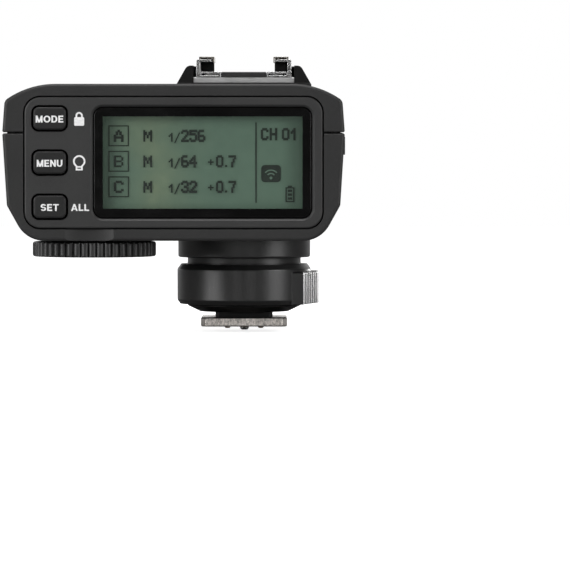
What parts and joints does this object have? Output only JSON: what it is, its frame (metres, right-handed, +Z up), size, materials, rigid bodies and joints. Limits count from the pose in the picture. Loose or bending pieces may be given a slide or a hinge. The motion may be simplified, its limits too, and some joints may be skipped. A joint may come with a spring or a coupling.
{
  "type": "wireless flash trigger",
  "caption": "Camera-top radio flash trigger: boxy casing with a display panel, keys, selector dial, battery door, quick-lock accessory foot below and a pass-through hot shoe on top.",
  "frame": {"origin": "centre of the accessory foot's underside", "axes": "+Y is the way the foot slides into a camera's shoe, away from the viewer, so the display faces -Y; +Z is up; +X is the viewer's right"},
  "size_m": [0.0723, 0.0705, 0.0593],
  "materials": {
    "case_black": "fine spark-eroded texture",
    "panel_black": "fine satin texture",
    "window_black": "polished, black printed border",
    "lcd": "grey-green reflective display",
    "backlight": "white diffuser",
    "board_green": "solder mask",
    "radio_can": "tinned sheet",
    "switch_black": "moulded",
    "key_black": "satin",
    "dial_black": "satin, ribbed rim",
    "encoder_metal": "stamped",
    "collar_black": "satin",
    "ring_black": "satin, ribbed lever",
    "pin_steel": "ground",
    "foot_metal": "plated, grainy cut edges",
    "block_black": "moulded",
    "screw_steel": "machined",
    "shoe_base_metal": "satin",
    "shoe_chrome": "polished stamping",
    "contact_gold": "gold-plated",
    "holder_black": "moulded",
    "terminal_nickel": "nickel-plated",
    "cell_wrap": "printed wrapper, plain bands",
    "knob_black": "ribbed",
    "socket_metal": "drawn shell",
    "jack_black": "moulded",
    "lamp_red": "dark red, translucent",
    "led_clear": "clear lens on a board"
  },
  "bodies": {
    "casing": {"top_cover": "case_black", "bottom_cover": "case_black", "rear_panel": "panel_black", "display_window": "window_black", "lcd_glass": "lcd", "display_backlight": "backlight", "main_board": "board_green", "radio_module": "radio_can", "panel_switches": "switch_black", "top_board": "board_green", "top_switches": "switch_black", "dial_encoder": "encoder_metal", "mount_collar": "collar_black", "foot_housing": "collar_black", "foot_plate": "foot_metal", "foot_contact_block": "block_black", "foot_screws": "screw_steel", "collar_screws": "screw_steel", "case_screws": "screw_steel", "shoe_base": "shoe_base_metal", "shoe_rail_left": "shoe_chrome", "shoe_rail_right": "shoe_chrome", "shoe_springs": "shoe_chrome", "shoe_contact_block": "block_black", "shoe_center_contact": "contact_gold", "shoe_data_contacts": "contact_gold", "shoe_screws": "screw_steel", "battery_door_pin": "pin_steel", "battery_holder": "holder_black", "battery_terminals": "terminal_nickel", "cell_rear": "cell_wrap", "cell_front": "cell_wrap", "side_board": "board_green", "switch_bodies": "switch_black", "usb_port": "socket_metal", "sync_jack": "jack_black", "lamp_window": "lamp_red", "lamp_led": "led_clear"},
    "mode_button": {"mode_button": "key_black"},
    "menu_button": {"menu_button": "key_black"},
    "set_button": {"set_button": "key_black"},
    "group_a_button": {"group_a_button": "key_black"},
    "group_b_button": {"group_b_button": "key_black"},
    "group_c_button": {"group_c_button": "key_black"},
    "group_d_button": {"group_d_button": "key_black"},
    "group_e_button": {"group_e_button": "key_black"},
    "test_button": {"test_button": "key_black"},
    "select_dial": {"select_dial": "dial_black"},
    "power_switch": {"power_switch": "knob_black"},
    "lamp_switch": {"lamp_switch": "knob_black"},
    "battery_door": {"battery_door": "case_black", "battery_door_contact": "terminal_nickel"},
    "lock_ring": {"lock_ring": "ring_black"},
    "lock_pin": {"lock_pin": "pin_steel"},
    "center_contact_pin": {"center_contact_pin": "contact_gold"},
    "data_contact_pin_1": {"data_contact_pin_1": "contact_gold"},
    "data_contact_pin_2": {"data_contact_pin_2": "contact_gold"},
    "data_contact_pin_3": {"data_contact_pin_3": "contact_gold"},
    "data_contact_pin_4": {"data_contact_pin_4": "contact_gold"}
  },
  "joints": [
    {"name": "mode_press", "type": "slide", "parent": "casing", "child": "mode_button", "axis": [0, 1, 0], "range_m": [0, 0.0004]},
    {"name": "menu_press", "type": "slide", "parent": "casing", "child": "menu_button", "axis": [0, 1, 0], "range_m": [0, 0.0004]},
    {"name": "set_press", "type": "slide", "parent": "casing", "child": "set_button", "axis": [0, 1, 0], "range_m": [0, 0.0004]},
    {"name": "group_a_press", "type": "slide", "parent": "casing", "child": "group_a_button", "axis": [0, 0, -1], "range_m": [0, 0.0004]},
    {"name": "group_b_press", "type": "slide", "parent": "casing", "child": "group_b_button", "axis": [0, 0, -1], "range_m": [0, 0.0004]},
    {"name": "group_c_press", "type": "slide", "parent": "casing", "child": "group_c_button", "axis": [0, 0, -1], "range_m": [0, 0.0004]},
    {"name": "group_d_press", "type": "slide", "parent": "casing", "child": "group_d_button", "axis": [0, 0, -1], "range_m": [0, 0.0004]},
    {"name": "group_e_press", "type": "slide", "parent": "casing", "child": "group_e_button", "axis": [0, 0, -1], "range_m": [0, 0.0004]},
    {"name": "test_press", "type": "slide", "parent": "casing", "child": "test_button", "axis": [0, 0, -1], "range_m": [0, 0.0004]},
    {"name": "dial_turn", "type": "hinge", "parent": "casing", "child": "select_dial", "pos_m": [-0.0317, -0.024, 0.0172], "axis": [0, 0, 1], "continuous": true},
    {"name": "power_slide", "type": "slide", "parent": "casing", "child": "power_switch", "axis": [0, 1, 0], "range_m": [0, 0.003]},
    {"name": "lamp_slide", "type": "slide", "parent": "casing", "child": "lamp_switch", "axis": [0, 1, 0], "range_m": [0, 0.003]},
    {"name": "battery_door_hinge", "type": "hinge", "parent": "casing", "child": "battery_door", "pos_m": [-0.0455, 0.00645, 0.022], "axis": [0, -1, 0], "range_deg": [0, 95]},
    {"name": "lock_ring_turn", "type": "hinge", "parent": "casing", "child": "lock_ring", "pos_m": [0, 0, 0.009], "axis": [0, 0, 1], "range_deg": [-60, 0]},
    {"name": "lock_pin_slide", "type": "slide", "parent": "casing", "child": "lock_pin", "axis": [0, 0, 1], "range_m": [0, 0.00131]},
    {"name": "center_contact_pin_slide", "type": "slide", "parent": "casing", "child": "center_contact_pin", "axis": [0, 0, 1], "range_m": [0, 0.0005]},
    {"name": "data_contact_pin_1_slide", "type": "slide", "parent": "casing", "child": "data_contact_pin_1", "axis": [0, 0, 1], "range_m": [0, 0.0005]},
    {"name": "data_contact_pin_2_slide", "type": "slide", "parent": "casing", "child": "data_contact_pin_2", "axis": [0, 0, 1], "range_m": [0, 0.0005]},
    {"name": "data_contact_pin_3_slide", "type": "slide", "parent": "casing", "child": "data_contact_pin_3", "axis": [0, 0, 1], "range_m": [0, 0.0005]},
    {"name": "data_contact_pin_4_slide", "type": "slide", "parent": "casing", "child": "data_contact_pin_4", "axis": [0, 0, 1], "range_m": [0, 0.0005]}
  ],
  "couplings": [
    {"joint": "lock_pin_slide", "follows": "lock_ring_turn", "m_per_rad": -0.0012414}
  ]
}
